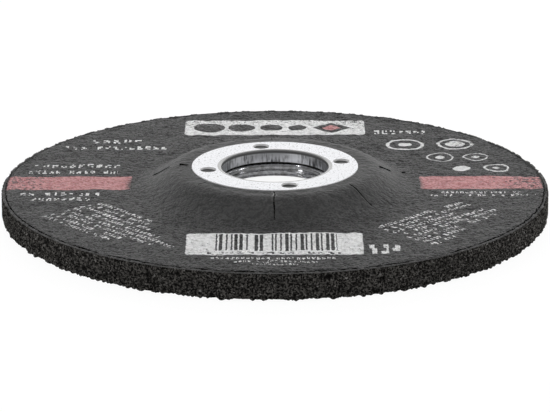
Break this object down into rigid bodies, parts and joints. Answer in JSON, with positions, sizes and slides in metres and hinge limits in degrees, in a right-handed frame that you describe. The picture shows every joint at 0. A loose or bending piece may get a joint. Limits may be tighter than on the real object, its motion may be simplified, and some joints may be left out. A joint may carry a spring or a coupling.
{
  "type": "depressed-centre grinding disc",
  "caption": "Round abrasive wheel with a raised hub, a paper label on the hub side, a recess under the hub and steel rings lining the central bore.",
  "frame": {"origin": "on the bore axis, in the plane of the grinding face that the disc rests on", "axes": "+Z along the bore axis from the grinding face to the label side; the front of the label's layout is at -Y, with +X to the right"},
  "size_m": [0.115, 0.115, 0.0104],
  "materials": {
    "abrasive": "gritty, pressed grain in dark resin",
    "label_paper": "satin dark grey paper with pale fields of print",
    "ring_steel": "bright plated sheet, pressed and punched",
    "face_ring_steel": "plain pressed steel with drawing marks"
  },
  "bodies": {
    "root": {"abrasive_body": "abrasive", "paper_label": "label_paper", "label_side_ring": "ring_steel", "face_side_ring": "face_ring_steel"}
  },
  "joints": []
}
